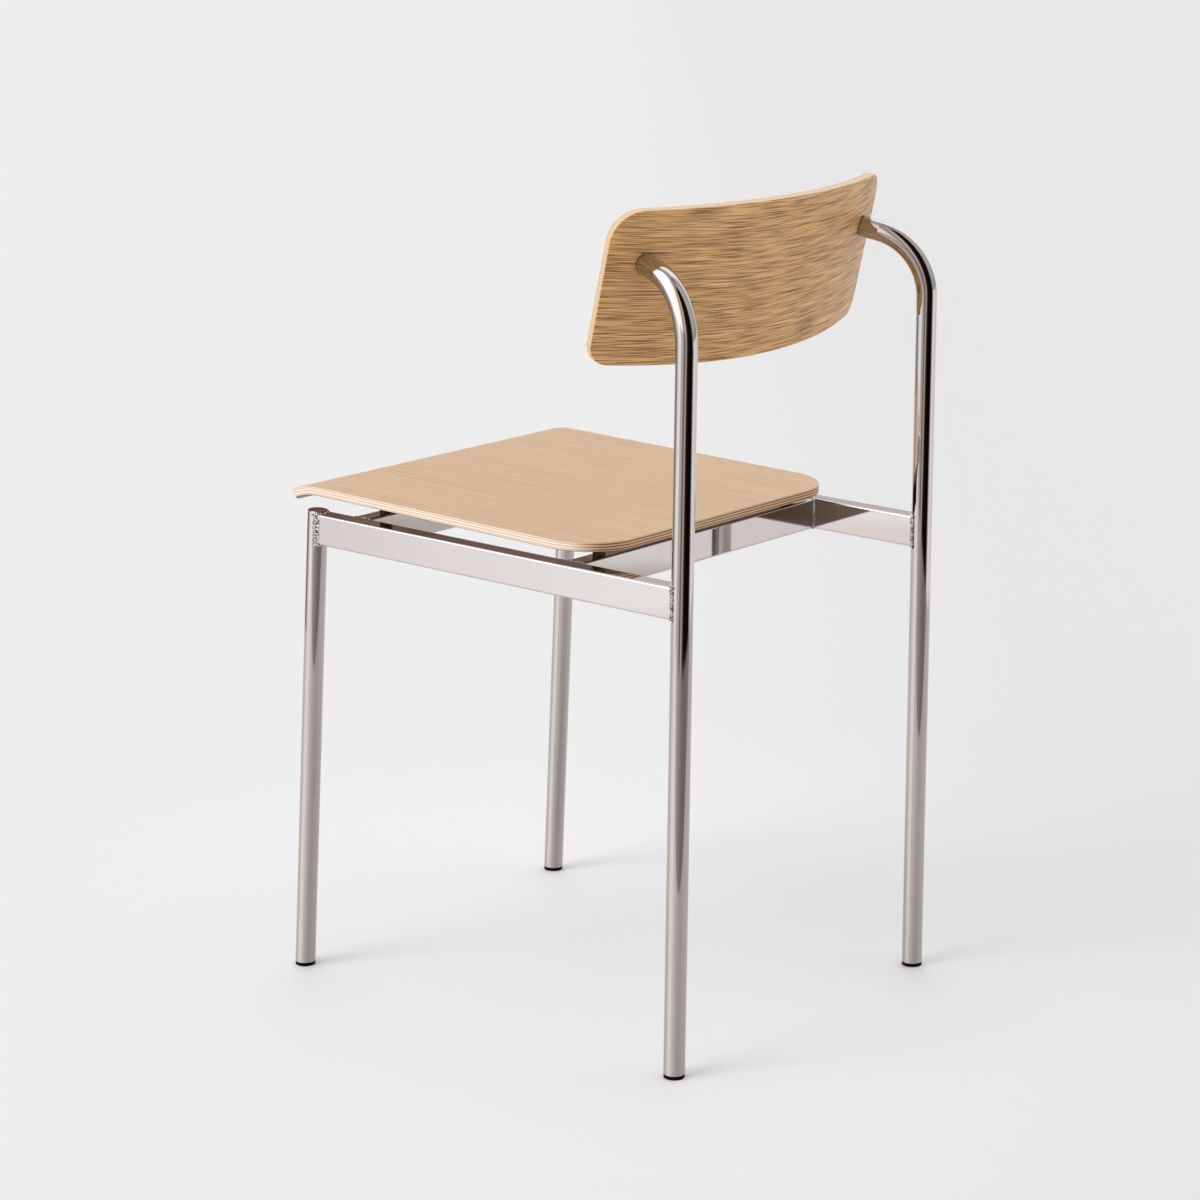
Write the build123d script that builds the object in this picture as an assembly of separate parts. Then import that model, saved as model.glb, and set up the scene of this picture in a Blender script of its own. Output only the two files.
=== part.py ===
from build123d import *
import math
import os

os.makedirs("parts", exist_ok=True)

# Frame: millimetres, +Z up, floor at z = 0, front of the chair towards -Y,
# the sitter's left towards +X, origin at the centre of the whole chair's outline on the floor.

# round tube of the legs and posts
tube_d = 20.0
tube_wall = 1.5
front_foot_x = 191.5
front_foot_y = -233.3
front_rake_deg = 3.25
front_splay_deg = 0.5
rear_foot_x = 191.5
rear_foot_y = 235.3
rear_lean_deg = 0.31
rear_splay_deg = 0.6
tube_bottom_z = 3.8
front_leg_top_z = 464.4
leg_cap_t = 2.2
cap_chamfer = 0.4
foot_chamfer = 0.4

# bend at the top of each rear post, and where its end meets the backrest
bend_r = 62.0
bend_corner_z = 720.7
post_end_x = 164.0
post_end_y = 176.1
post_end_z = 736.8
gasket_t = 0.8
post_end_chamfer = 0.5

# flat-sided tube of the rails and crossbars
rail_h = 30.0
rail_t = 19.0
rail_wall = 1.5
rail_corner_r = 2.0
rail_top_z = 462.1
rail_slope_deg = 0.64
rail_x = 186.6
rail_end_gap = 3.5
front_bar_y = -158.0
rear_bar_y = 107.5
screw_x = 144.0
bar_hole_d = 7.0

# seat panel
seat_t = 9.0
seat_w = 379.0
seat_rear_y = 140.5
seat_bend_y = -204.3
seat_bend_r = 82.2
seat_bend_deg = 33.75
seat_top_z = 483.8
seat_slope_deg = 1.63
seat_front_corner_r = 21.3
seat_blank_extra_deg = 2.0
seat_rear_corner_r = 55.0
seat_edge_r = 0.8

# backrest panel
back_t = 9.0
back_r = 493.0
back_arc = 412.8
back_top = 53.2
back_bottom = -97.2
back_top_crown = 7.0
back_bottom_crown = 2.5
back_recline_deg = 13.1
back_top_corner_r = 30.0
back_bottom_corner_r = 18.0
back_edge_r = 0.8

# hardware
foot_d = 19.6
foot_stem_d = 16.8
foot_stem_l = 18.0
spacer_d = 12.0
insert_d = 8.0
insert_l = 7.0
seat_screw_d = 5.0
seat_screw_head_d = 11.0
seat_screw_head_h = 1.0
seat_screw_head_round_r = 0.5
socket_r = 2.2
socket_depth = 1.7
plug_l = 16.0
back_screw_d = 6.0
back_screw_head_d = 16.0
back_screw_head_h = 2.5
back_screw_head_round_r = 1.2
back_screw_grip = 13.0
head_gap = 0.6
weld_r = 1.9
weld_inset = 0.3
leg_weld_r = 6.6
leg_weld_sink = 5.4
leg_weld_y = 5.8
post_weld_y = 4.6
weld_from_y = 3.0
weld_proud = 0.6

# clearances, and how far shapes used only for cutting overshoot
bore_gap = 0.3
tip_gap = 1.0
below_floor = -20.0
over = 40.0
far = 1000.0


def save(node, shape):
    export_step(shape, "parts/" + node + ".step")


def tube_frame(foot, direction, z):
    """Plane across a tube at height z: z along the tube, x close to the world's X."""
    t = (z - foot.Z) / direction.Z
    at = foot + direction * t
    return Plane(origin=at, x_dir=(1, 0, 0), z_dir=direction)


def front_axis(side):
    foot = Vector(side * front_foot_x, front_foot_y, 0)
    back = math.tan(math.radians(front_rake_deg))
    out = math.tan(math.radians(front_splay_deg))
    return foot, Vector(-side * out, back, 1).normalized()


def rear_axis(side):
    foot = Vector(side * rear_foot_x, rear_foot_y, 0)
    back = math.tan(math.radians(rear_lean_deg))
    out = math.tan(math.radians(rear_splay_deg))
    return foot, Vector(-side * out, back, 1).normalized()


def on_axis(axis, z):
    foot, direction = axis
    return foot + direction * (z / direction.Z)


def rod(start, end, radius):
    """A solid round bar between two points."""
    line = Vector(*end) - Vector(*start)
    plane = Plane(origin=start, z_dir=line)
    return plane * extrude(Circle(radius), line.length)


def slab_above(z):
    return Pos(0, 0, z + far / 2) * Box(2 * far, 2 * far, far)


rail_frame = Location((0, 0, rail_top_z), (-rail_slope_deg, 0, 0))
seat_frame = Location((0, 0, seat_top_z), (-seat_slope_deg, 0, 0))


def back_frame():
    """Frame of the backrest: y to the rear along its normal, z up along it,
    origin on its rear face at the height of the post ends."""
    phi = math.asin(post_end_x / back_r)
    depth = back_r * (1 - math.cos(phi))
    rho = math.radians(back_recline_deg)
    y = post_end_y + depth * math.cos(rho)
    z = post_end_z - depth * math.sin(rho)
    return Location((0, y, z), (-back_recline_deg, 0, 0))


def post_points(side):
    axis = rear_axis(side)
    corner = on_axis(axis, bend_corner_z)
    end = Vector(side * post_end_x, post_end_y, post_end_z)
    run = (end - corner).normalized()
    return corner, end, run


def leg_outer(side):
    axis = front_axis(side)
    return rod(on_axis(axis, below_floor), on_axis(axis, front_leg_top_z + over), tube_d / 2)


def post_outer(side):
    axis = rear_axis(side)
    return rod(on_axis(axis, below_floor), on_axis(axis, rail_top_z + over), tube_d / 2)


def front_leg(side):
    axis = front_axis(side)
    top = on_axis(axis, front_leg_top_z)
    low = on_axis(axis, below_floor)
    body = rod(low, top, tube_d / 2) - rod(low, top, tube_d / 2 - tube_wall)
    return body & slab_above(tube_bottom_z)


def leg_cap(side):
    axis = front_axis(side)
    top = tube_frame(axis[0], axis[1], front_leg_top_z)
    disc = top * extrude(Circle(tube_d / 2), leg_cap_t)
    rim = disc.edges().filter_by(GeomType.CIRCLE).sort_by(Axis.Z)[-1]
    return chamfer(rim, cap_chamfer)


def rear_post(side):
    corner, end, run = post_points(side)
    low = on_axis(rear_axis(side), below_floor)
    stop = end - run * gasket_t
    path = FilletPolyline(low, corner, stop, radius=bend_r)
    ring = Plane(origin=low, z_dir=corner - low) * (Circle(tube_d / 2) - Circle(tube_d / 2 - tube_wall))
    post = sweep(ring, path=path) & slab_above(tube_bottom_z)
    rims = post.edges().filter_by(GeomType.CIRCLE).filter_by(lambda e: e.radius > tube_d / 2 - tube_wall / 2)
    rim = min(rims, key=lambda e: (e.arc_center - stop).length)
    return chamfer(rim, post_end_chamfer)


def flat_tube(length, width, height):
    """Flat-sided tube along x, its top at z = 0."""
    outer = RectangleRounded(width, height, rail_corner_r)
    inner = RectangleRounded(width - 2 * rail_wall, height - 2 * rail_wall, rail_corner_r / 2)
    section = Plane.YZ * (outer - inner)
    return Pos(-length / 2, 0, -height / 2) * extrude(section, length)


def solid_bar(length, width, height):
    section = Plane.YZ * Rectangle(width, height)
    return Pos(-length / 2, 0, -height / 2) * extrude(section, length)


def side_rail(side):
    z_mid = rail_top_z - rail_h / 2
    front = on_axis(front_axis(side), z_mid)
    rear = on_axis(rear_axis(side), z_mid)
    y0 = front.Y - tube_d / 2
    y1 = rear.Y + tube_d / 2
    bar = flat_tube(y1 - y0, rail_t, rail_h)
    bar = rail_frame * Pos(side * rail_x, (y0 + y1) / 2, 0) * Rot(0, 0, 90) * bar
    bar = bar - leg_outer(side) - post_outer(side)
    bar = bar & half_space(front_axis(side), rail_end_gap, 1)
    return bar & half_space(rear_axis(side), -rail_end_gap, -1)


def half_space(axis, offset, sign):
    """Everything beyond a plane that runs along a tube, offset along y from its axis."""
    plane = tube_frame(axis[0], axis[1], rail_top_z)
    box = Pos(0, offset + sign * far / 2, 0) * Box(far, far, far)
    return plane * box


def crossbar(y):
    length = 2 * (rail_x - rail_t / 2)
    bar = flat_tube(length, rail_t, rail_h)
    for x in (-screw_x, screw_x):
        bar = bar - Pos(x, 0, -rail_h / 2) * Cylinder(bar_hole_d / 2, rail_h + over)
    return rail_frame * Pos(0, y, 0) * bar


def seat_profile():
    """Side profile of the seat panel before trimming, in its own frame, drawn in the YZ plane."""
    ang = math.radians(seat_bend_deg + seat_blank_extra_deg)
    r_top = seat_bend_r
    r_low = seat_bend_r - seat_t
    front_top = (seat_bend_y - r_top * math.sin(ang), r_top * math.cos(ang) - r_top)
    front_low = (seat_bend_y - r_low * math.sin(ang), r_low * math.cos(ang) - r_top)
    mid_top = (seat_bend_y - r_top * math.sin(ang / 2), r_top * math.cos(ang / 2) - r_top)
    mid_low = (seat_bend_y - r_low * math.sin(ang / 2), r_low * math.cos(ang / 2) - r_top)
    edges = [
        Line((seat_rear_y, 0), (seat_bend_y, 0)),
        ThreePointArc((seat_bend_y, 0), mid_top, front_top),
        Line(front_top, front_low),
        ThreePointArc(front_low, mid_low, (seat_bend_y, -seat_t)),
        Line((seat_bend_y, -seat_t), (seat_rear_y, -seat_t)),
        Line((seat_rear_y, -seat_t), (seat_rear_y, 0)),
    ]
    return Plane.YZ * make_face(Curve() + edges)


def seat_rear_trim():
    """Everything inside the seat's outline at its sides and rear, cut straight down."""
    shape = Pos(0, seat_rear_y - far / 2) * Rectangle(seat_w, far)
    corners = shape.vertices().filter_by(lambda v: abs(v.Y - seat_rear_y) < 0.01)
    shape = fillet(corners, seat_rear_corner_r)
    return Pos(0, 0, -over) * extrude(shape, 2 * over)


def seat_front_trim():
    """Everything behind the seat's front edge, cut square to the surface at the lip."""
    ang = math.radians(seat_bend_deg)
    y = seat_bend_y - seat_bend_r * math.sin(ang)
    z = seat_bend_r * math.cos(ang) - seat_bend_r
    shape = Pos(0, far / 2) * Rectangle(seat_w, far)
    shape = fillet(shape.vertices().sort_by(Axis.Y)[0:2], seat_front_corner_r)
    lip = Plane(origin=(0, y, z), x_dir=(1, 0, 0), z_dir=(0, -math.sin(ang), math.cos(ang)))
    return lip * extrude(shape, far, both=True)


def seat_plain():
    body = Pos(-seat_w / 2, 0, 0) * extrude(seat_profile(), seat_w)
    body = body & seat_rear_trim() & seat_front_trim()
    return fillet(body.edges().filter_by(is_seat_rim), seat_edge_r)


def insert_hole(x, y, radius):
    """Round hole for an insert, along its screw, from the seat's underside up."""
    tall = screw_frame(x, y) * Pos(0, 0, over / 2) * Cylinder(radius, over)
    layer = seat_frame * Pos(0, 0, -seat_t + insert_l / 2) * Box(far, far, insert_l)
    return tall & layer


def is_seat_rim(edge):
    """An edge that runs round the top or the underside, not one across the thickness."""
    if edge.geom_type == GeomType.LINE and abs(edge.tangent_at(0.5).X) < 0.01:
        upright = abs(edge.tangent_at(0.5).Z) > 0.5
        return not upright
    return not is_bend_line(edge)


def is_bend_line(edge):
    """The line across the panel where its flat part meets the bend at the front."""
    return abs(edge.center().Y - seat_bend_y) < 0.1 and edge.length > seat_w / 2


def seat_panel():
    body = seat_frame * seat_plain()
    for y in (front_bar_y, rear_bar_y):
        for x in (-screw_x, screw_x):
            body = body - insert_hole(x, y, insert_d / 2)
    return body


def seat_inserts():
    parts = []
    for y in (front_bar_y, rear_bar_y):
        for x in (-screw_x, screw_x):
            outer = insert_hole(x, y, insert_d / 2)
            parts.append(outer - insert_hole(x, y, seat_screw_d / 2))
    return Compound(parts)


def screw_frame(x, y):
    """Frame of a seat screw: on the top face of its crossbar, z towards the seat."""
    return rail_frame * Pos(x, y, 0)


def seat_gap(y):
    """Height from the crossbar's top to the underside of the seat at y."""
    seat_low = seat_top_z - seat_t / math.cos(math.radians(seat_slope_deg))
    seat_low -= y * math.tan(math.radians(seat_slope_deg))
    return seat_low - (rail_top_z - y * math.tan(math.radians(rail_slope_deg)))


def seat_spacer(x, y):
    middle = screw_frame(x, y) * Pos(0, 0, over / 2)
    tall = middle * Cylinder(spacer_d / 2, over)
    bore = middle * Cylinder(seat_screw_d / 2 + bore_gap, 2 * over)
    under = seat_frame * Pos(0, 0, -seat_t + far / 2) * Box(far, far, far)
    return tall - bore - under


def seat_screws(y):
    parts = []
    for x in (-screw_x, screw_x):
        top = seat_gap(y) + insert_l - tip_gap
        shank = Pos(0, 0, (top - rail_h) / 2) * Cylinder(seat_screw_d / 2, top + rail_h)
        head = Pos(0, 0, -rail_h - seat_screw_head_h / 2)
        head = head * Cylinder(seat_screw_head_d / 2, seat_screw_head_h)
        low = head.edges().filter_by(GeomType.CIRCLE).sort_by(Axis.Z)[0]
        head = fillet(low, seat_screw_head_round_r)
        socket = Pos(0, 0, -rail_h - seat_screw_head_h)
        socket = socket * extrude(RegularPolygon(socket_r, 6), socket_depth)
        parts.append(screw_frame(x, y) * (shank + head - socket))
    return Compound(parts)


def back_outline():
    """Outline of the backrest seen from behind, with gently crowned top and bottom edges."""
    x = back_r * math.sin(back_arc / 2 / back_r)
    edges = [
        ThreePointArc((-x, back_top - back_top_crown), (0, back_top), (x, back_top - back_top_crown)),
        Line((x, back_top - back_top_crown), (x, back_bottom + back_bottom_crown)),
        ThreePointArc(
            (x, back_bottom + back_bottom_crown),
            (0, back_bottom),
            (-x, back_bottom + back_bottom_crown),
        ),
        Line((-x, back_bottom + back_bottom_crown), (-x, back_top - back_top_crown)),
    ]
    shape = make_face(Curve() + edges)
    corners = shape.vertices().sort_by(Axis.Y)
    shape = fillet(corners[:2], back_bottom_corner_r)
    corners = shape.vertices().filter_by(lambda v: v.Y > 0).sort_by(lambda v: -abs(v.X))
    return fillet(corners[:2], back_top_corner_r)


def backrest_panel():
    drum = Pos(0, -back_r, 0) * Cylinder(back_r, far)
    patch = drum & (Plane.XZ * extrude(back_outline(), back_r, both=True))
    skin = patch.faces().filter_by(GeomType.CYLINDER).sort_by(Axis.Y)[-1]
    body = thicken(skin, -back_t)
    body = fillet(body.edges().filter_by(is_rim_edge), back_edge_r)
    body = back_frame() * body
    for side in (-1, 1):
        corner, end, run = post_points(side)
        body = body - rod(end - run * over, end + run * over, back_screw_d / 2 + bore_gap)
    return body


def is_rim_edge(edge):
    """An edge that runs round the panel's front or rear face."""
    reach = [math.hypot(v.X, v.Y + back_r) for v in edge.vertices()]
    return max(reach) - min(reach) < back_t / 4


def backrest_gasket(side, panel):
    corner, end, run = post_points(side)
    stop = end - run * gasket_t
    disc = rod(stop, end + run * back_t, tube_d / 2 - head_gap)
    disc = disc - rod(stop - run, end + run * over, back_screw_d / 2 + bore_gap)
    disc = disc - panel
    return nearest_solid(disc, stop)


def nearest_solid(shape, point):
    return min(shape.solids(), key=lambda s: (s.center() - Vector(*point)).length)


def backrest_plug(side):
    corner, end, run = post_points(side)
    stop = end - run * gasket_t
    start = stop - run * plug_l
    body = rod(start, stop, tube_d / 2 - tube_wall)
    return body - rod(start - run, stop + run, back_screw_d / 2)


def backrest_screws():
    parts = []
    for side in (-1, 1):
        corner, end, run = post_points(side)
        stop = end - run * gasket_t
        seat = end + run * (back_t + head_gap)
        shank = rod(stop - run * back_screw_grip, seat, back_screw_d / 2)
        head = rod(seat, seat + run * back_screw_head_h, back_screw_head_d / 2)
        outer = head.edges().filter_by(GeomType.CIRCLE).sort_by(Axis.Y)[0]
        head = fillet(outer, back_screw_head_round_r)
        top = seat + run * back_screw_head_h
        socket = Plane(origin=top, z_dir=-run) * extrude(RegularPolygon(socket_r, 6), socket_depth)
        parts.append(shank + head - socket)
    return Compound(parts)


def foot_plug(axis):
    low = on_axis(axis, below_floor)
    flange = rod(low, on_axis(axis, over), foot_d / 2)
    flange = flange & (Pos(0, 0, tube_bottom_z / 2) * Box(far, far, tube_bottom_z))
    rim = flange.edges().group_by(Axis.Z)[0]
    flange = chamfer(rim, foot_chamfer)
    stem = rod(low, on_axis(axis, tube_bottom_z + foot_stem_l), foot_stem_d / 2)
    stem = stem & slab_above(tube_bottom_z / 2)
    return flange + stem


def ring_weld(axis, sign, side_r, sink, side_y):
    """Weld bead around the end of a side rail where it meets a round tube.
    sign is +1 where the rail leaves towards +Y and -1 towards -Y; the beads down its
    two sides have radius side_r, with centres sunk below the side by sink."""
    foot, direction = axis
    top = rail_top_at(on_axis(axis, rail_top_z).Y) - weld_inset
    high = tube_frame(foot, direction, top)
    low = tube_frame(foot, direction, top - rail_h + 2 * weld_inset)
    bead = high * Torus(tube_d / 2, weld_r) + low * Torus(tube_d / 2, weld_r)
    for x in (sink - rail_t / 2, rail_t / 2 - sink):
        start = low.from_local_coords(Vector(x, sign * side_y, 0))
        stop = high.from_local_coords(Vector(x, sign * side_y, 0))
        bead = bead + rod(start, stop, side_r)
    return bead & half_space(axis, sign * weld_from_y, sign)


def rail_top_at(y):
    return rail_top_z - y * math.tan(math.radians(rail_slope_deg))


def weld_front(side):
    axis = front_axis(side)
    bead = ring_weld(axis, 1, leg_weld_r, leg_weld_sink, leg_weld_y)
    return biggest(bead - leg_outer(side) - filled_rail(side))


def weld_rear(side):
    axis = rear_axis(side)
    bead = ring_weld(axis, -1, weld_r, 0, post_weld_y)
    return biggest(bead - post_outer(side) - filled_rail(side))


def filled_rail(side):
    """The outer form of a side rail with no hollow, to shape what lies against it."""
    bar = solid_bar(far, rail_t, rail_h)
    return rail_frame * Pos(side * rail_x, 0, 0) * Rot(0, 0, 90) * bar


def biggest(shape):
    return max(shape.solids(), key=lambda s: s.volume)


def weld_bar(side, y):
    """Weld bead around the end of a crossbar on the inner face of a side rail."""
    x = side * (rail_x - rail_t / 2)
    w = rail_t / 2 - weld_proud
    top = weld_proud - weld_r
    low = -rail_h - top
    corners = [(x, y - w, low), (x, y + w, low), (x, y + w, top), (x, y - w, top)]
    bead = None
    for a, b in zip(corners, corners[1:] + corners[:1]):
        part = rod(a, b, weld_r) + Pos(*a) * Sphere(weld_r)
        bead = part if bead is None else bead + part
    bead = rail_frame * bead
    bar = rail_frame * Pos(0, y, 0) * solid_bar(2 * abs(x), rail_t, rail_h)
    return biggest(bead - filled_rail(side) - bar)


def build():
    names = {1: "left", -1: "right"}
    panel = backrest_panel()
    save("backrest_panel", panel)
    save("seat_panel", seat_panel())
    save("seat_inserts", seat_inserts())
    save("backrest_screws", backrest_screws())
    save("front_crossbar", crossbar(front_bar_y))
    save("rear_crossbar", crossbar(rear_bar_y))
    save("seat_screws_front", seat_screws(front_bar_y))
    save("seat_screws_rear", seat_screws(rear_bar_y))
    for side, name in names.items():
        save("front_leg_" + name, front_leg(side))
        save("leg_cap_" + name, leg_cap(side))
        save("rear_post_" + name, rear_post(side))
        save("side_rail_" + name, side_rail(side))
        save("foot_front_" + name, foot_plug(front_axis(side)))
        save("foot_rear_" + name, foot_plug(rear_axis(side)))
        save("spacer_front_" + name, seat_spacer(side * screw_x, front_bar_y))
        save("spacer_rear_" + name, seat_spacer(side * screw_x, rear_bar_y))
        save("backrest_plug_" + name, backrest_plug(side))
        save("backrest_gasket_" + name, backrest_gasket(side, panel))
        save("weld_leg_" + name, weld_front(side))
        save("weld_post_" + name, weld_rear(side))
        save("weld_front_bar_" + name, weld_bar(side, front_bar_y))
        save("weld_rear_bar_" + name, weld_bar(side, rear_bar_y))


build()
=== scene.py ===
import bpy
import math
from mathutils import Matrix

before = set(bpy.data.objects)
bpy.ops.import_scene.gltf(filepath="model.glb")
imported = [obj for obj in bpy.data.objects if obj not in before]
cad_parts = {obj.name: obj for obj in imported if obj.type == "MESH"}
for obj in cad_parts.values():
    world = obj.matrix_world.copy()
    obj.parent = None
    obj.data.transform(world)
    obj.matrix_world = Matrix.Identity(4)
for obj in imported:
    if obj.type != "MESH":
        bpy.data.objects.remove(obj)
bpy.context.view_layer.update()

# Sizes of the chair that the materials follow, in metres and radians.
# The seat's top face over the origin, its slope down to the rear, and where its rolled
# front begins, with the radius of that roll at the top face.
SEAT_TOP_Z = 0.4838
SEAT_SLOPE = math.radians(1.63)
SEAT_BEND_Y = -0.2043
SEAT_BEND_R = 0.0822
# Painted shade on the seat's underside starts to fade, and is gone, this far ahead of the roll's
# beginning.
LIP_BEGINS = 0.034
LIP_FULL = 0.042
# The backrest's rear face: its radius, its place on the centre line, and how far it leans.
BACK_R = 0.493
BACK_Y = 0.20344
BACK_Z = 0.73045
BACK_RECLINE = math.radians(13.1)
# Thickness of each panel, of its face veneers, and of two of its seven plies, a light and
# a dark one.
PLY = 0.009
FACE_VENEER = 0.0007
PLY_PAIR = PLY / 3.5

# The oak's pattern, in repeats per metre along the grain, across it and through the
# panel: growth lines 5 mm apart and 250 mm long, and open pores 0.8 mm apart and up to
# 45 mm long, drawn about twice as coarse as oak's own so that they show.
GROWTH_LINES = (4, 200, 20)
PORES = (22, 1300, 60)
PORE_TONE = "7a4d24"


def linear(code):
    """An sRGB hex colour as the linear colour that a socket takes."""
    out = []
    for i in (0, 2, 4):
        c = int(code[i:i + 2], 16) / 255
        out.append(c / 12.92 if c <= 0.04045 else ((c + 0.055) / 1.055) ** 2.4)
    return (*out, 1.0)


def add(tree, kind, settings=None, inputs=None, stops=None):
    """A node with its settings, its inputs set or linked, and a ramp's stops."""
    node = tree.nodes.new(kind)
    for key, value in (settings or {}).items():
        setattr(node, key, value)
    for key, value in (inputs or {}).items():
        if isinstance(value, bpy.types.NodeSocket):
            tree.links.new(value, node.inputs[key])
        else:
            node.inputs[key].default_value = value
    for i, (place, code) in enumerate(stops or ()):
        elements = node.color_ramp.elements
        element = elements[i] if i < 2 else elements.new(place)
        element.position = place
        element.color = linear(code)
    return node


def finish(name, build):
    """A new material whose tree build fills; build returns the shader's output."""
    material = bpy.data.materials.new(name)
    material.use_nodes = True
    tree = material.node_tree
    tree.nodes.clear()
    add(tree, "ShaderNodeOutputMaterial", inputs={"Surface": build(tree)})
    return material


def dress(material, *nodes):
    for name in nodes:
        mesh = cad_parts[name].data
        mesh.materials.clear()
        mesh.materials.append(material)


def chrome_on_tube(tree):
    # drawn tube under bright chrome: a near mirror that drifts over a few centimetres
    place = add(tree, "ShaderNodeTexCoord").outputs["Object"]
    drift = add(tree, "ShaderNodeTexNoise", inputs={"Vector": place, "Scale": 22.0, "Detail": 1.0})
    rough = add(tree, "ShaderNodeMapRange", inputs={
        "Value": drift.outputs["Fac"], "To Min": 0.02, "To Max": 0.05})
    bump = add(tree, "ShaderNodeBump", inputs={
        "Height": drift.outputs["Fac"], "Strength": 0.012, "Distance": 0.001})
    return add(tree, "ShaderNodeBsdfPrincipled", inputs={
        "Base Color": linear("c4c0bf"), "Metallic": 1.0,
        "Roughness": rough.outputs["Result"],
        "Normal": bump.outputs["Normal"]}).outputs["BSDF"]


def chrome_on_weld(tree):
    # plate over a hand-laid bead: ripples and spatter 1.5 mm apart in its bumps, with painted
    # glints, its colour speckled light and dark
    place = add(tree, "ShaderNodeTexCoord").outputs["Object"]
    spatter_and_glint = add(tree, "ShaderNodeTexNoise", inputs={"Vector": place, "Scale": 650.0, "Detail": 4.0})
    # painted glints: the plate's colour speckled white and dark grey
    tone = add(tree, "ShaderNodeValToRGB", inputs={"Fac": spatter_and_glint.outputs["Fac"]},
               stops=[(0.42, "6e6967"), (0.50, "ffffff")])
    bump = add(tree, "ShaderNodeBump", inputs={
        "Height": spatter_and_glint.outputs["Fac"], "Strength": 1.0, "Distance": 0.004})
    return add(tree, "ShaderNodeBsdfPrincipled", inputs={
        "Base Color": tone.outputs["Color"], "Metallic": 1.0, "Roughness": 0.18,
        "Normal": bump.outputs["Normal"]}).outputs["BSDF"]


def seat_space(tree):
    """Depth below the seat's top surface, the grain's own coordinates, and 1 at the lip."""
    place = add(tree, "ShaderNodeTexCoord").outputs["Object"]
    local = add(tree, "ShaderNodeMapping", {"vector_type": "TEXTURE"}, {
        "Vector": place, "Location": (0, 0, SEAT_TOP_Z), "Rotation": (-SEAT_SLOPE, 0, 0)})
    axes = add(tree, "ShaderNodeSeparateXYZ", inputs={"Vector": local.outputs["Vector"]})
    ahead = add(tree, "ShaderNodeMath", {"operation": "SUBTRACT"}, {
        0: axes.outputs["Y"], 1: SEAT_BEND_Y})
    ahead = add(tree, "ShaderNodeMath", {"operation": "MINIMUM"}, {0: ahead.outputs[0], 1: 0.0})
    up = add(tree, "ShaderNodeMath", {"operation": "ADD"}, {0: axes.outputs["Z"], 1: SEAT_BEND_R})
    spoke = add(tree, "ShaderNodeCombineXYZ", inputs={"X": ahead.outputs[0], "Y": up.outputs[0]})
    reach = add(tree, "ShaderNodeVectorMath", {"operation": "LENGTH"}, {
        0: spoke.outputs["Vector"]})
    depth = add(tree, "ShaderNodeMath", {"operation": "SUBTRACT"}, {
        0: SEAT_BEND_R, 1: reach.outputs["Value"]})
    grain = add(tree, "ShaderNodeCombineXYZ", inputs={
        "X": axes.outputs["Y"], "Y": axes.outputs["X"], "Z": depth.outputs[0]})
    lip = add(tree, "ShaderNodeMapRange", inputs={
        "Value": ahead.outputs[0], "From Min": -LIP_BEGINS, "From Max": -LIP_FULL})
    return depth.outputs[0], grain.outputs["Vector"], lip.outputs["Result"]


def back_space(tree):
    """Depth in front of the backrest's rear face, the grain's own coordinates, unrolled,
    and 0, because it has no lip."""
    place = add(tree, "ShaderNodeTexCoord").outputs["Object"]
    local = add(tree, "ShaderNodeMapping", {"vector_type": "TEXTURE"}, {
        "Vector": place, "Location": (0, BACK_Y, BACK_Z), "Rotation": (-BACK_RECLINE, 0, 0)})
    axes = add(tree, "ShaderNodeSeparateXYZ", inputs={"Vector": local.outputs["Vector"]})
    behind = add(tree, "ShaderNodeMath", {"operation": "ADD"}, {0: axes.outputs["Y"], 1: BACK_R})
    turn = add(tree, "ShaderNodeMath", {"operation": "ARCTAN2"}, {
        0: axes.outputs["X"], 1: behind.outputs[0]})
    along = add(tree, "ShaderNodeMath", {"operation": "MULTIPLY"}, {0: turn.outputs[0], 1: BACK_R})
    spoke = add(tree, "ShaderNodeCombineXYZ", inputs={
        "X": axes.outputs["X"], "Y": behind.outputs[0]})
    reach = add(tree, "ShaderNodeVectorMath", {"operation": "LENGTH"}, {
        0: spoke.outputs["Vector"]})
    depth = add(tree, "ShaderNodeMath", {"operation": "SUBTRACT"}, {
        0: BACK_R, 1: reach.outputs["Value"]})
    grain = add(tree, "ShaderNodeCombineXYZ", inputs={
        "X": along.outputs[0], "Y": axes.outputs["Z"], "Z": depth.outputs[0]})
    return depth.outputs[0], grain.outputs["Vector"], 0.0


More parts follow.
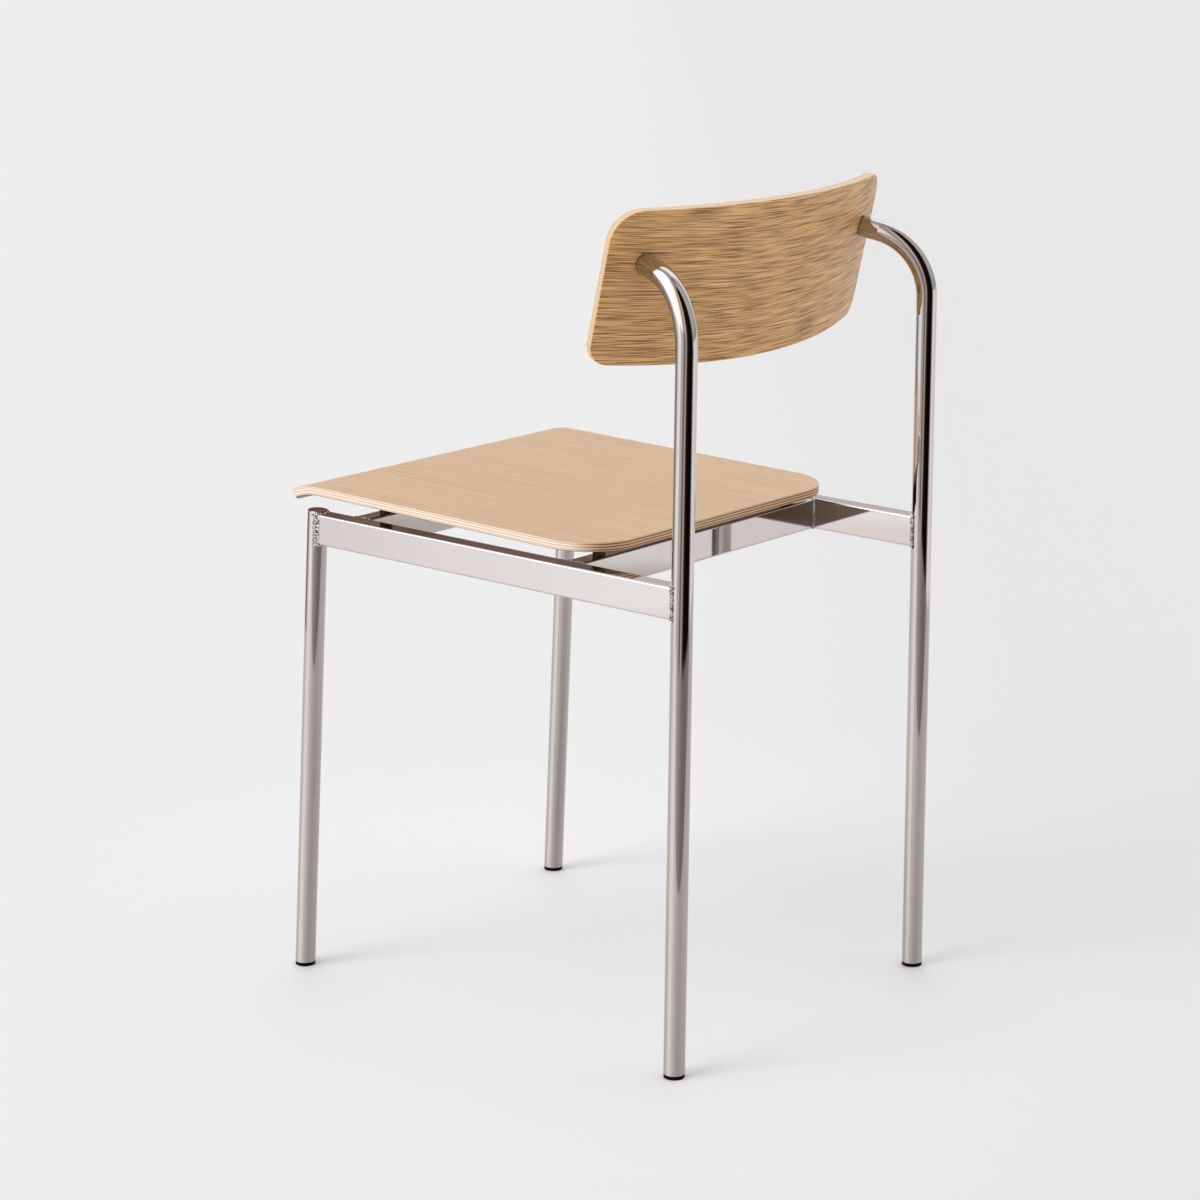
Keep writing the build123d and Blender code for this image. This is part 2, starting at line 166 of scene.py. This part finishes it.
def oak_plywood(tree, space, face_stops, lit_side_stops, shaded_end_stops, pore_depth, underside_shade):
    """Lacquered plywood: an oak face veneer with long grain, and layered edges.
    The first ply stops are for edges that face sideways, painted paler as if lit, and the second
    for edges that face forwards or backwards, painted darker as if in shade. pore_depth is how dark
    the open pores look, and the last colour is painted shade on the far face."""
    depth, grain, lip = space(tree)
    # slow wander of the grain, about 1 mm over 250 mm
    wander = add(tree, "ShaderNodeTexNoise", inputs={"Vector": grain, "Scale": 4.0, "Detail": 1.0})
    shift = add(tree, "ShaderNodeVectorMath", {"operation": "SCALE"}, {
        0: wander.outputs["Color"], "Scale": 0.005})
    bent = add(tree, "ShaderNodeVectorMath", {"operation": "ADD"}, {
        0: grain, 1: shift.outputs["Vector"]})
    lines = add(tree, "ShaderNodeMapping", inputs={
        "Vector": bent.outputs["Vector"], "Scale": GROWTH_LINES})
    pores = add(tree, "ShaderNodeMapping", inputs={
        "Vector": bent.outputs["Vector"], "Scale": PORES})
    line = add(tree, "ShaderNodeTexNoise", inputs={
        "Vector": lines.outputs["Vector"], "Scale": 1.0, "Detail": 2.0, "Roughness": 0.6})
    pore = add(tree, "ShaderNodeTexNoise", inputs={
        "Vector": pores.outputs["Vector"], "Scale": 1.0, "Detail": 1.0})
    wood = add(tree, "ShaderNodeValToRGB", inputs={"Fac": line.outputs["Fac"]}, stops=face_stops)
    # a pore opens where its pattern is low, with a soft rim
    gap = add(tree, "ShaderNodeMapRange", inputs={
        "Value": pore.outputs["Fac"], "From Min": 0.55, "From Max": 0.38, "To Max": pore_depth})
    veneer = add(tree, "ShaderNodeMix", {"data_type": "RGBA"}, {
        "Factor": gap.outputs["Result"], 6: wood.outputs["Color"], 7: linear(PORE_TONE)})
    # painted shade: the far face, the seat's underside, is darkened as in the shade under the seat,
    # but not at the lip
    shaded_below = add(tree, "ShaderNodeMath", {"operation": "GREATER_THAN"}, {0: depth, 1: PLY / 2})
    shaded_below = add(tree, "ShaderNodeMath", {"operation": "SUBTRACT", "use_clamp": True}, {
        0: shaded_below.outputs[0], 1: lip})
    veneer = add(tree, "ShaderNodeMix", {"data_type": "RGBA", "blend_type": "MULTIPLY"}, {
        "Factor": shaded_below.outputs[0], 6: veneer.outputs[2], 7: linear(underside_shade)})
    # plies, light and dark in turn through the thickness
    pairs = add(tree, "ShaderNodeMath", {"operation": "DIVIDE"}, {0: depth, 1: PLY_PAIR})
    ply = add(tree, "ShaderNodeMath", {"operation": "FRACT"}, {0: pairs.outputs[0]})
    # two sets of plies: a paler one painted as lit and a darker one painted as shaded
    along = add(tree, "ShaderNodeValToRGB", inputs={"Fac": ply.outputs[0]}, stops=lit_side_stops)
    shaded_plies = add(tree, "ShaderNodeValToRGB", inputs={"Fac": ply.outputs[0]}, stops=shaded_end_stops)
    # painted light and shade: an edge that faces sideways gets the paler plies, as if lit, and one
    # that faces forwards or backwards the darker plies, as if in shade
    facing = add(tree, "ShaderNodeSeparateXYZ", inputs={
        "Vector": add(tree, "ShaderNodeNewGeometry").outputs["Normal"]})
    shaded_facing = add(tree, "ShaderNodeMath", {"operation": "ABSOLUTE"}, {0: facing.outputs["Y"]})
    shaded_facing = add(tree, "ShaderNodeMapRange", inputs={
        "Value": shaded_facing.outputs[0], "From Min": 0.45, "From Max": 0.8})
    plies = add(tree, "ShaderNodeMix", {"data_type": "RGBA"}, {
        "Factor": shaded_facing.outputs["Result"], 6: along.outputs["Color"], 7: shaded_plies.outputs["Color"]})
    # plies show only between the two face veneers
    middle = add(tree, "ShaderNodeMath", {"operation": "SUBTRACT"}, {0: depth, 1: PLY / 2})
    middle = add(tree, "ShaderNodeMath", {"operation": "ABSOLUTE"}, {0: middle.outputs[0]})
    inside = add(tree, "ShaderNodeMath", {"operation": "LESS_THAN"}, {
        0: middle.outputs[0], 1: PLY / 2 - FACE_VENEER})
    colour = add(tree, "ShaderNodeMix", {"data_type": "RGBA"}, {
        "Factor": inside.outputs[0], 6: veneer.outputs[2], 7: plies.outputs[2]})
    bump = add(tree, "ShaderNodeBump", inputs={
        "Height": gap.outputs["Result"], "Strength": 0.15, "Distance": -0.0002})
    return add(tree, "ShaderNodeBsdfPrincipled", inputs={
        "Base Color": colour.outputs[2], "Roughness": 0.42, "IOR": 1.5,
        "Normal": bump.outputs["Normal"]}).outputs["BSDF"]


def seat_oak(tree):
    return oak_plywood(
        tree, seat_space,
        [(0.28, "cda882"), (0.45, "d5b18b"), (0.60, "dab68f"), (0.78, "dfbc97")],
        # sideways plies painted pale as if lit; front and rear plies painted dark as if in shade
        [(0.0, "fff0e0"), (0.52, "fff0e0"), (0.60, "e4c3a8"), (0.78, "e4c3a8")],
        # 94724a is painted shade on the seat's underside
        [(0.0, "dcb78f"), (0.50, "d6ae84"), (0.60, "7a5232"), (0.88, "7a5232")], 0.13, "94724a")


def back_oak(tree):
    return oak_plywood(
        tree, back_space,
        [(0.28, "d8a465"), (0.45, "dfae6e"), (0.58, "e7b87a"), (0.78, "edc186")],
        [(0.0, "ffe9c6"), (0.50, "ffe9c6"), (0.58, "c99a68"), (0.80, "c99a68")],
        [(0.0, "ffe9c6"), (0.50, "ffe9c6"), (0.58, "c99a68"), (0.80, "c99a68")], 0.88, "ffffff")


def moulded_black(tree):
    # injection-moulded polyethylene, slightly scuffed
    place = add(tree, "ShaderNodeTexCoord").outputs["Object"]
    scuff = add(tree, "ShaderNodeTexNoise", inputs={"Vector": place, "Scale": 300.0, "Detail": 3.0})
    tone = add(tree, "ShaderNodeValToRGB", inputs={"Fac": scuff.outputs["Fac"]},
               stops=[(0.35, "030303"), (0.7, "080807")])
    rough = add(tree, "ShaderNodeMapRange", inputs={
        "Value": scuff.outputs["Fac"], "To Min": 0.4, "To Max": 0.6})
    return add(tree, "ShaderNodeBsdfPrincipled", inputs={
        "Base Color": tone.outputs["Color"], "Roughness": rough.outputs["Result"],
        "IOR": 1.5, "Specular IOR Level": 0.06}).outputs["BSDF"]


def turned_rubber(tree):
    # dark red-brown rubber buffers
    place = add(tree, "ShaderNodeTexCoord").outputs["Object"]
    grain = add(tree, "ShaderNodeTexNoise", inputs={"Vector": place, "Scale": 700.0, "Detail": 2.0})
    tone = add(tree, "ShaderNodeValToRGB", inputs={"Fac": grain.outputs["Fac"]},
               stops=[(0.3, "3a1d10"), (0.7, "5a3320")])
    bump = add(tree, "ShaderNodeBump", inputs={
        "Height": grain.outputs["Fac"], "Strength": 0.3, "Distance": 0.0003})
    return add(tree, "ShaderNodeBsdfPrincipled", inputs={
        "Base Color": tone.outputs["Color"], "Roughness": 0.6, "IOR": 1.52,
        "Normal": bump.outputs["Normal"]}).outputs["BSDF"]


def zinc_plated(tree):
    # turned and zinc-plated steel, with fine tool marks as a noise in its roughness
    place = add(tree, "ShaderNodeTexCoord").outputs["Object"]
    marks = add(tree, "ShaderNodeTexNoise", inputs={"Vector": place, "Scale": 500.0, "Detail": 2.0})
    rough = add(tree, "ShaderNodeMapRange", inputs={
        "Value": marks.outputs["Fac"], "To Min": 0.25, "To Max": 0.4})
    return add(tree, "ShaderNodeBsdfPrincipled", inputs={
        "Base Color": linear("b9b8b4"), "Metallic": 1.0,
        "Roughness": rough.outputs["Result"]}).outputs["BSDF"]


SIDES = ("left", "right")
TUBES = [part + side for part in ("front_leg_", "leg_cap_", "rear_post_", "side_rail_")
         for side in SIDES]
WELDS = [part + side for part in ("weld_leg_", "weld_post_", "weld_front_bar_", "weld_rear_bar_")
         for side in SIDES]
FEET = [part + side for part in ("foot_front_", "foot_rear_") for side in SIDES]
BUFFERS = [part + side for part in ("spacer_front_", "spacer_rear_", "backrest_gasket_")
           for side in SIDES]
FIXINGS = ["seat_inserts", "seat_screws_front", "seat_screws_rear", "backrest_screws"]
PLUGS = ["backrest_plug_" + side for side in SIDES]
CROSSBARS = ["front_crossbar", "rear_crossbar"]

dress(finish("chrome plate on steel tube", chrome_on_tube), *TUBES, *CROSSBARS)
dress(finish("chrome plate on weld bead", chrome_on_weld), *WELDS)
dress(finish("oak plywood seat", seat_oak), "seat_panel")
dress(finish("oak plywood backrest", back_oak), "backrest_panel")
dress(finish("moulded black plastic", moulded_black), *FEET)
dress(finish("dark rubber", turned_rubber), *BUFFERS)
dress(finish("zinc plated steel", zinc_plated), *FIXINGS, *PLUGS)

# What stands round the chair, as polished metal shows it: lit walls, the bright window,
# and a dark opening at the rear. Azimuth in degrees, 0 at the sitter's left and 90 at the
# rear, and the colour there.
SURROUNDINGS = [
    (-180, "dedbda"), (-100, "d2cfcd"), (-86, "736a66"), (-67, "8b827e"), (-54, "d6d2d1"),
    (-40, "f6f3f2"), (-30, "ffffff"), (-20, "fbf9f8"), (-8, "b6afac"), (2, "c4bcb8"),
    (10, "a59d98"), (17, "7e7570"), (23, "5c534d"), (29, "a29a95"), (35, "b8b0ab"), (42, "75604e"),
    (49, "2e2015"), (60, "0c0a09"), (99, "0e0b0a"), (106, "aca5a1"), (116, "e4e0de"),
    (125, "f0ecea"), (150, "dbd7d5")]


def surroundings(tree, place):
    axes = add(tree, "ShaderNodeSeparateXYZ", inputs={"Vector": place})
    turn = add(tree, "ShaderNodeMath", {"operation": "ARCTAN2"}, {
        0: axes.outputs["Y"], 1: axes.outputs["X"]})
    turn = add(tree, "ShaderNodeMapRange", inputs={
        "Value": turn.outputs[0], "From Min": -math.pi, "From Max": math.pi})
    stops = [((degrees + 180) / 360, code) for degrees, code in SURROUNDINGS]
    around = add(tree, "ShaderNodeValToRGB", inputs={"Fac": turn.outputs["Result"]}, stops=stops)
    return around.outputs["Color"], axes.outputs["Z"], turn.outputs["Result"]


# Floor: a wide pale sweep. Only in reflections it shows a painted dark band past an edge that
# crosses
# EDGE_DIRECTION, and a glow of painted walls further out. Painted shade greys its paper towards the
# last direction below.
FLOOR_SIZE = 60.0
EDGE_DIRECTION = (math.cos(math.radians(53)), math.sin(math.radians(53)), 0)
EDGE_BEGINS = 0.83
EDGE_ENDS = 0.86
WALLS_BEGIN = 1.7
WALLS_FULL = 1.8
WALLS_LIGHT = 1.42
SHADED_DIRECTION = (-0.64, 0.77, 0)

bpy.ops.object.select_all(action="DESELECT")
bpy.ops.mesh.primitive_plane_add(size=FLOOR_SIZE, location=(0, 0, 0))
floor = bpy.context.object
floor.name = "studio_floor"


def studio_floor(tree):
    # satin paper: an even, soft white, with painted light that whitens it under the chair, and
    # painted shade that greys it a little towards one side
    place = add(tree, "ShaderNodeTexCoord").outputs["Object"]
    out = add(tree, "ShaderNodeVectorMath", {"operation": "DOT_PRODUCT"}, {
        0: place, 1: EDGE_DIRECTION})
    past_edge = add(tree, "ShaderNodeMapRange", inputs={
        "Value": out.outputs["Value"], "From Min": EDGE_BEGINS, "From Max": EDGE_ENDS})
    # painted reflection: the dark band that only metal sees
    painted_reflection_tone = add(tree, "ShaderNodeMix", {"data_type": "RGBA"}, {
        "Factor": past_edge.outputs["Result"], 6: linear("eceae9"), 7: linear("726965")})
    reach = add(tree, "ShaderNodeVectorMath", {"operation": "LENGTH"}, {0: place})
    aside = add(tree, "ShaderNodeVectorMath", {"operation": "DOT_PRODUCT"}, {
        0: place, 1: SHADED_DIRECTION})
    # painted light: the paper is whiter under the chair, lifting the chair's shade
    painted_light_under_chair = add(tree, "ShaderNodeMapRange", {"interpolation_type": "SMOOTHSTEP"}, {
        "Value": reach.outputs["Value"], "From Min": 1.0, "From Max": 0.1})
    tone = add(tree, "ShaderNodeMix", {"data_type": "RGBA"}, {
        "Factor": painted_light_under_chair.outputs["Result"], 6: linear("f0f1f3"), 7: linear("fcfdff")})
    # painted shade: the paper is a little greyer towards one side
    painted_shade_aside = add(tree, "ShaderNodeMapRange", {"interpolation_type": "SMOOTHSTEP"}, {
        "Value": aside.outputs["Value"], "From Min": -0.1, "From Max": 0.65})
    tone = add(tree, "ShaderNodeMix", {"data_type": "RGBA", "blend_type": "MULTIPLY"}, {
        "Factor": painted_shade_aside.outputs["Result"], 6: tone.outputs[2], 7: linear("f7f7f6")})
    paper = add(tree, "ShaderNodeBsdfPrincipled", inputs={
        "Base Color": tone.outputs[2], "Roughness": 0.6, "IOR": 1.5})
    # painted reflection: what metal sees of the floor, with its painted dark band, out to a glow of
    # painted walls
    matt = add(tree, "ShaderNodeBsdfDiffuse", inputs={"Color": painted_reflection_tone.outputs[2]})
    sheen = add(tree, "ShaderNodeBsdfGlossy", inputs={
        "Color": linear("f0ecea"), "Roughness": 0.6})
    satin = add(tree, "ShaderNodeMixShader", inputs={
        0: 0.5, 1: matt.outputs["BSDF"], 2: sheen.outputs["BSDF"]})
    around, _, _ = surroundings(tree, place)
    painted_walls_glow = add(tree, "ShaderNodeEmission", inputs={
        "Color": around, "Strength": WALLS_LIGHT})
    far = add(tree, "ShaderNodeMapRange", inputs={
        "Value": reach.outputs["Value"], "From Min": WALLS_BEGIN, "From Max": WALLS_FULL})
    in_metal = add(tree, "ShaderNodeMixShader", inputs={
        0: far.outputs["Result"], 1: satin.outputs["Shader"], 2: painted_walls_glow.outputs["Emission"]})
    path = add(tree, "ShaderNodeLightPath")
    return add(tree, "ShaderNodeMixShader", inputs={
        0: path.outputs["Is Glossy Ray"], 1: paper.outputs["BSDF"],
        2: in_metal.outputs["Shader"]}).outputs["Shader"]


floor.data.materials.append(finish("satin paper sweep", studio_floor))

# World: an even white room, a window to the sitter's left, and the surroundings in metal.
# The window's azimuth and the half width where it fades and is full, in degrees, and the
# height of its middle with the half heights, as sines of the elevation.
WINDOW_AZIMUTH = -20
WINDOW_FADES_WIDE = 50
WINDOW_FULL_WIDE = 34
WINDOW_MIDDLE = 0.53
WINDOW_FADES_TALL = 0.42
WINDOW_FULL_TALL = 0.36
# Strength of the room's light, and of the window on what is matt and in metal.
ROOM_LIGHT = 1.067
WINDOW_LIGHT = 2.0
WINDOW_IN_METAL = 1.6

world = bpy.data.worlds.new("studio")
bpy.context.scene.world = world
world.use_nodes = True
tree = world.node_tree
tree.nodes.clear()
direction = add(tree, "ShaderNodeTexCoord").outputs["Generated"]
around, height, turn = surroundings(tree, direction)
# a grey ceiling straight above
overhead = add(tree, "ShaderNodeMapRange", {"interpolation_type": "SMOOTHSTEP"}, {
    "Value": height, "From Min": 0.93, "From Max": 0.99})
room = add(tree, "ShaderNodeMix", {"data_type": "RGBA"}, {
    "Factor": overhead.outputs["Result"], 6: around, 7: linear("8c8688")})
path = add(tree, "ShaderNodeLightPath")
# in metal, the wall at the right rear is in shade
shade = add(tree, "ShaderNodeValToRGB", inputs={"Fac": turn}, stops=[
    (0.0, "ffffff"), (0.775, "ffffff"), (0.81, "aaaaaa"), (0.95, "aaaaaa"), (1.0, "ffffff")])
room = add(tree, "ShaderNodeMix", {"data_type": "RGBA", "blend_type": "MULTIPLY"}, {
    "Factor": path.outputs["Is Glossy Ray"], 6: room.outputs[2], 7: shade.outputs["Color"]})
# and the wall at the front right is grey low down
corner = add(tree, "ShaderNodeValToRGB", inputs={"Fac": turn}, stops=[
    (0.06, "000000"), (0.08, "ffffff"), (0.14, "ffffff"), (0.16, "000000")])
low = add(tree, "ShaderNodeMapRange", inputs={
    "Value": height, "From Min": 0.42, "From Max": 0.34})
grey = add(tree, "ShaderNodeMath", {"operation": "MULTIPLY"}, {
    0: corner.outputs["Color"], 1: low.outputs["Result"]})
grey = add(tree, "ShaderNodeMath", {"operation": "MULTIPLY"}, {
    0: grey.outputs[0], 1: path.outputs["Is Glossy Ray"]})
room = add(tree, "ShaderNodeMix", {"data_type": "RGBA", "blend_type": "MULTIPLY"}, {
    "Factor": grey.outputs[0], 6: room.outputs[2], 7: linear("c0bcbb")})
# what is matt is lit by a whiter room
share = add(tree, "ShaderNodeMapRange", inputs={
    "Value": path.outputs["Is Glossy Ray"], "To Min": 0.45})
room = add(tree, "ShaderNodeMix", {"data_type": "RGBA"}, {
    "Factor": share.outputs["Result"], 6: linear("ffffff"), 7: room.outputs[2]})
# the window, which lights what is matt from a narrower stretch than metal shows
aside = add(tree, "ShaderNodeMath", {"operation": "SUBTRACT"}, {
    0: turn, 1: (180 + WINDOW_AZIMUTH) / 360})
aside = add(tree, "ShaderNodeMath", {"operation": "ABSOLUTE"}, {0: aside.outputs[0]})
spread = add(tree, "ShaderNodeMapRange", inputs={
    "Value": path.outputs["Is Glossy Ray"], "To Min": 2.5, "To Max": 1.0})
edge = add(tree, "ShaderNodeMath", {"operation": "MULTIPLY"}, {
    0: aside.outputs[0], 1: spread.outputs["Result"]})
wide = add(tree, "ShaderNodeMapRange", {"interpolation_type": "SMOOTHSTEP"}, {
    "Value": edge.outputs[0], "From Min": WINDOW_FADES_WIDE / 360,
    "From Max": WINDOW_FULL_WIDE / 360})
above = add(tree, "ShaderNodeMath", {"operation": "SUBTRACT"}, {0: height, 1: WINDOW_MIDDLE})
above = add(tree, "ShaderNodeMath", {"operation": "ABSOLUTE"}, {0: above.outputs[0]})
tall = add(tree, "ShaderNodeMapRange", {"interpolation_type": "SMOOTHSTEP"}, {
    "Value": above.outputs[0], "From Min": WINDOW_FADES_TALL, "From Max": WINDOW_FULL_TALL})
window = add(tree, "ShaderNodeMath", {"operation": "MULTIPLY"}, {
    0: wide.outputs["Result"], 1: tall.outputs["Result"]})
power = add(tree, "ShaderNodeMapRange", inputs={
    "Value": path.outputs["Is Glossy Ray"], "To Min": WINDOW_LIGHT, "To Max": WINDOW_IN_METAL})
glare = add(tree, "ShaderNodeMath", {"operation": "MULTIPLY_ADD"}, {
    0: window.outputs[0], 1: power.outputs["Result"], 2: ROOM_LIGHT})
# metal sees the room brighter, most of all higher up
lift = add(tree, "ShaderNodeMapRange", inputs={
    "Value": height, "From Max": 0.3, "To Min": 0.4, "To Max": 1.0})
glare = add(tree, "ShaderNodeMath", {"operation": "MULTIPLY_ADD"}, {
    0: path.outputs["Is Glossy Ray"], 1: lift.outputs["Result"], 2: glare.outputs[0]})
lit = add(tree, "ShaderNodeBackground", inputs={
    "Color": room.outputs[2], "Strength": glare.outputs[0]})
# the backdrop itself is one plain tone
plain = add(tree, "ShaderNodeBackground", inputs={"Color": linear("ebebeb"), "Strength": 1.0})
mixed = add(tree, "ShaderNodeMixShader", inputs={
    0: path.outputs["Is Camera Ray"], 1: lit.outputs["Background"], 2: plain.outputs["Background"]})
add(tree, "ShaderNodeOutputWorld", inputs={"Surface": mixed.outputs["Shader"]})

# Camera: at the rear left, upright and looking down 14 degrees, with a 100 mm lens on a
# 36 mm sensor.
CAMERA_PLACE = (2.43044, 1.99182, 1.15769)
CAMERA_TILT = math.radians(75.9932)
CAMERA_TURN = math.radians(129.4762)
LENS_MM = 100.0226
SENSOR_MM = 36.0

bpy.ops.object.camera_add(location=CAMERA_PLACE, rotation=(CAMERA_TILT, 0, CAMERA_TURN))
camera = bpy.context.object
camera.data.lens = LENS_MM
camera.data.sensor_width = SENSOR_MM
bpy.context.scene.camera = camera

bpy.context.scene.view_settings.view_transform = "Standard"
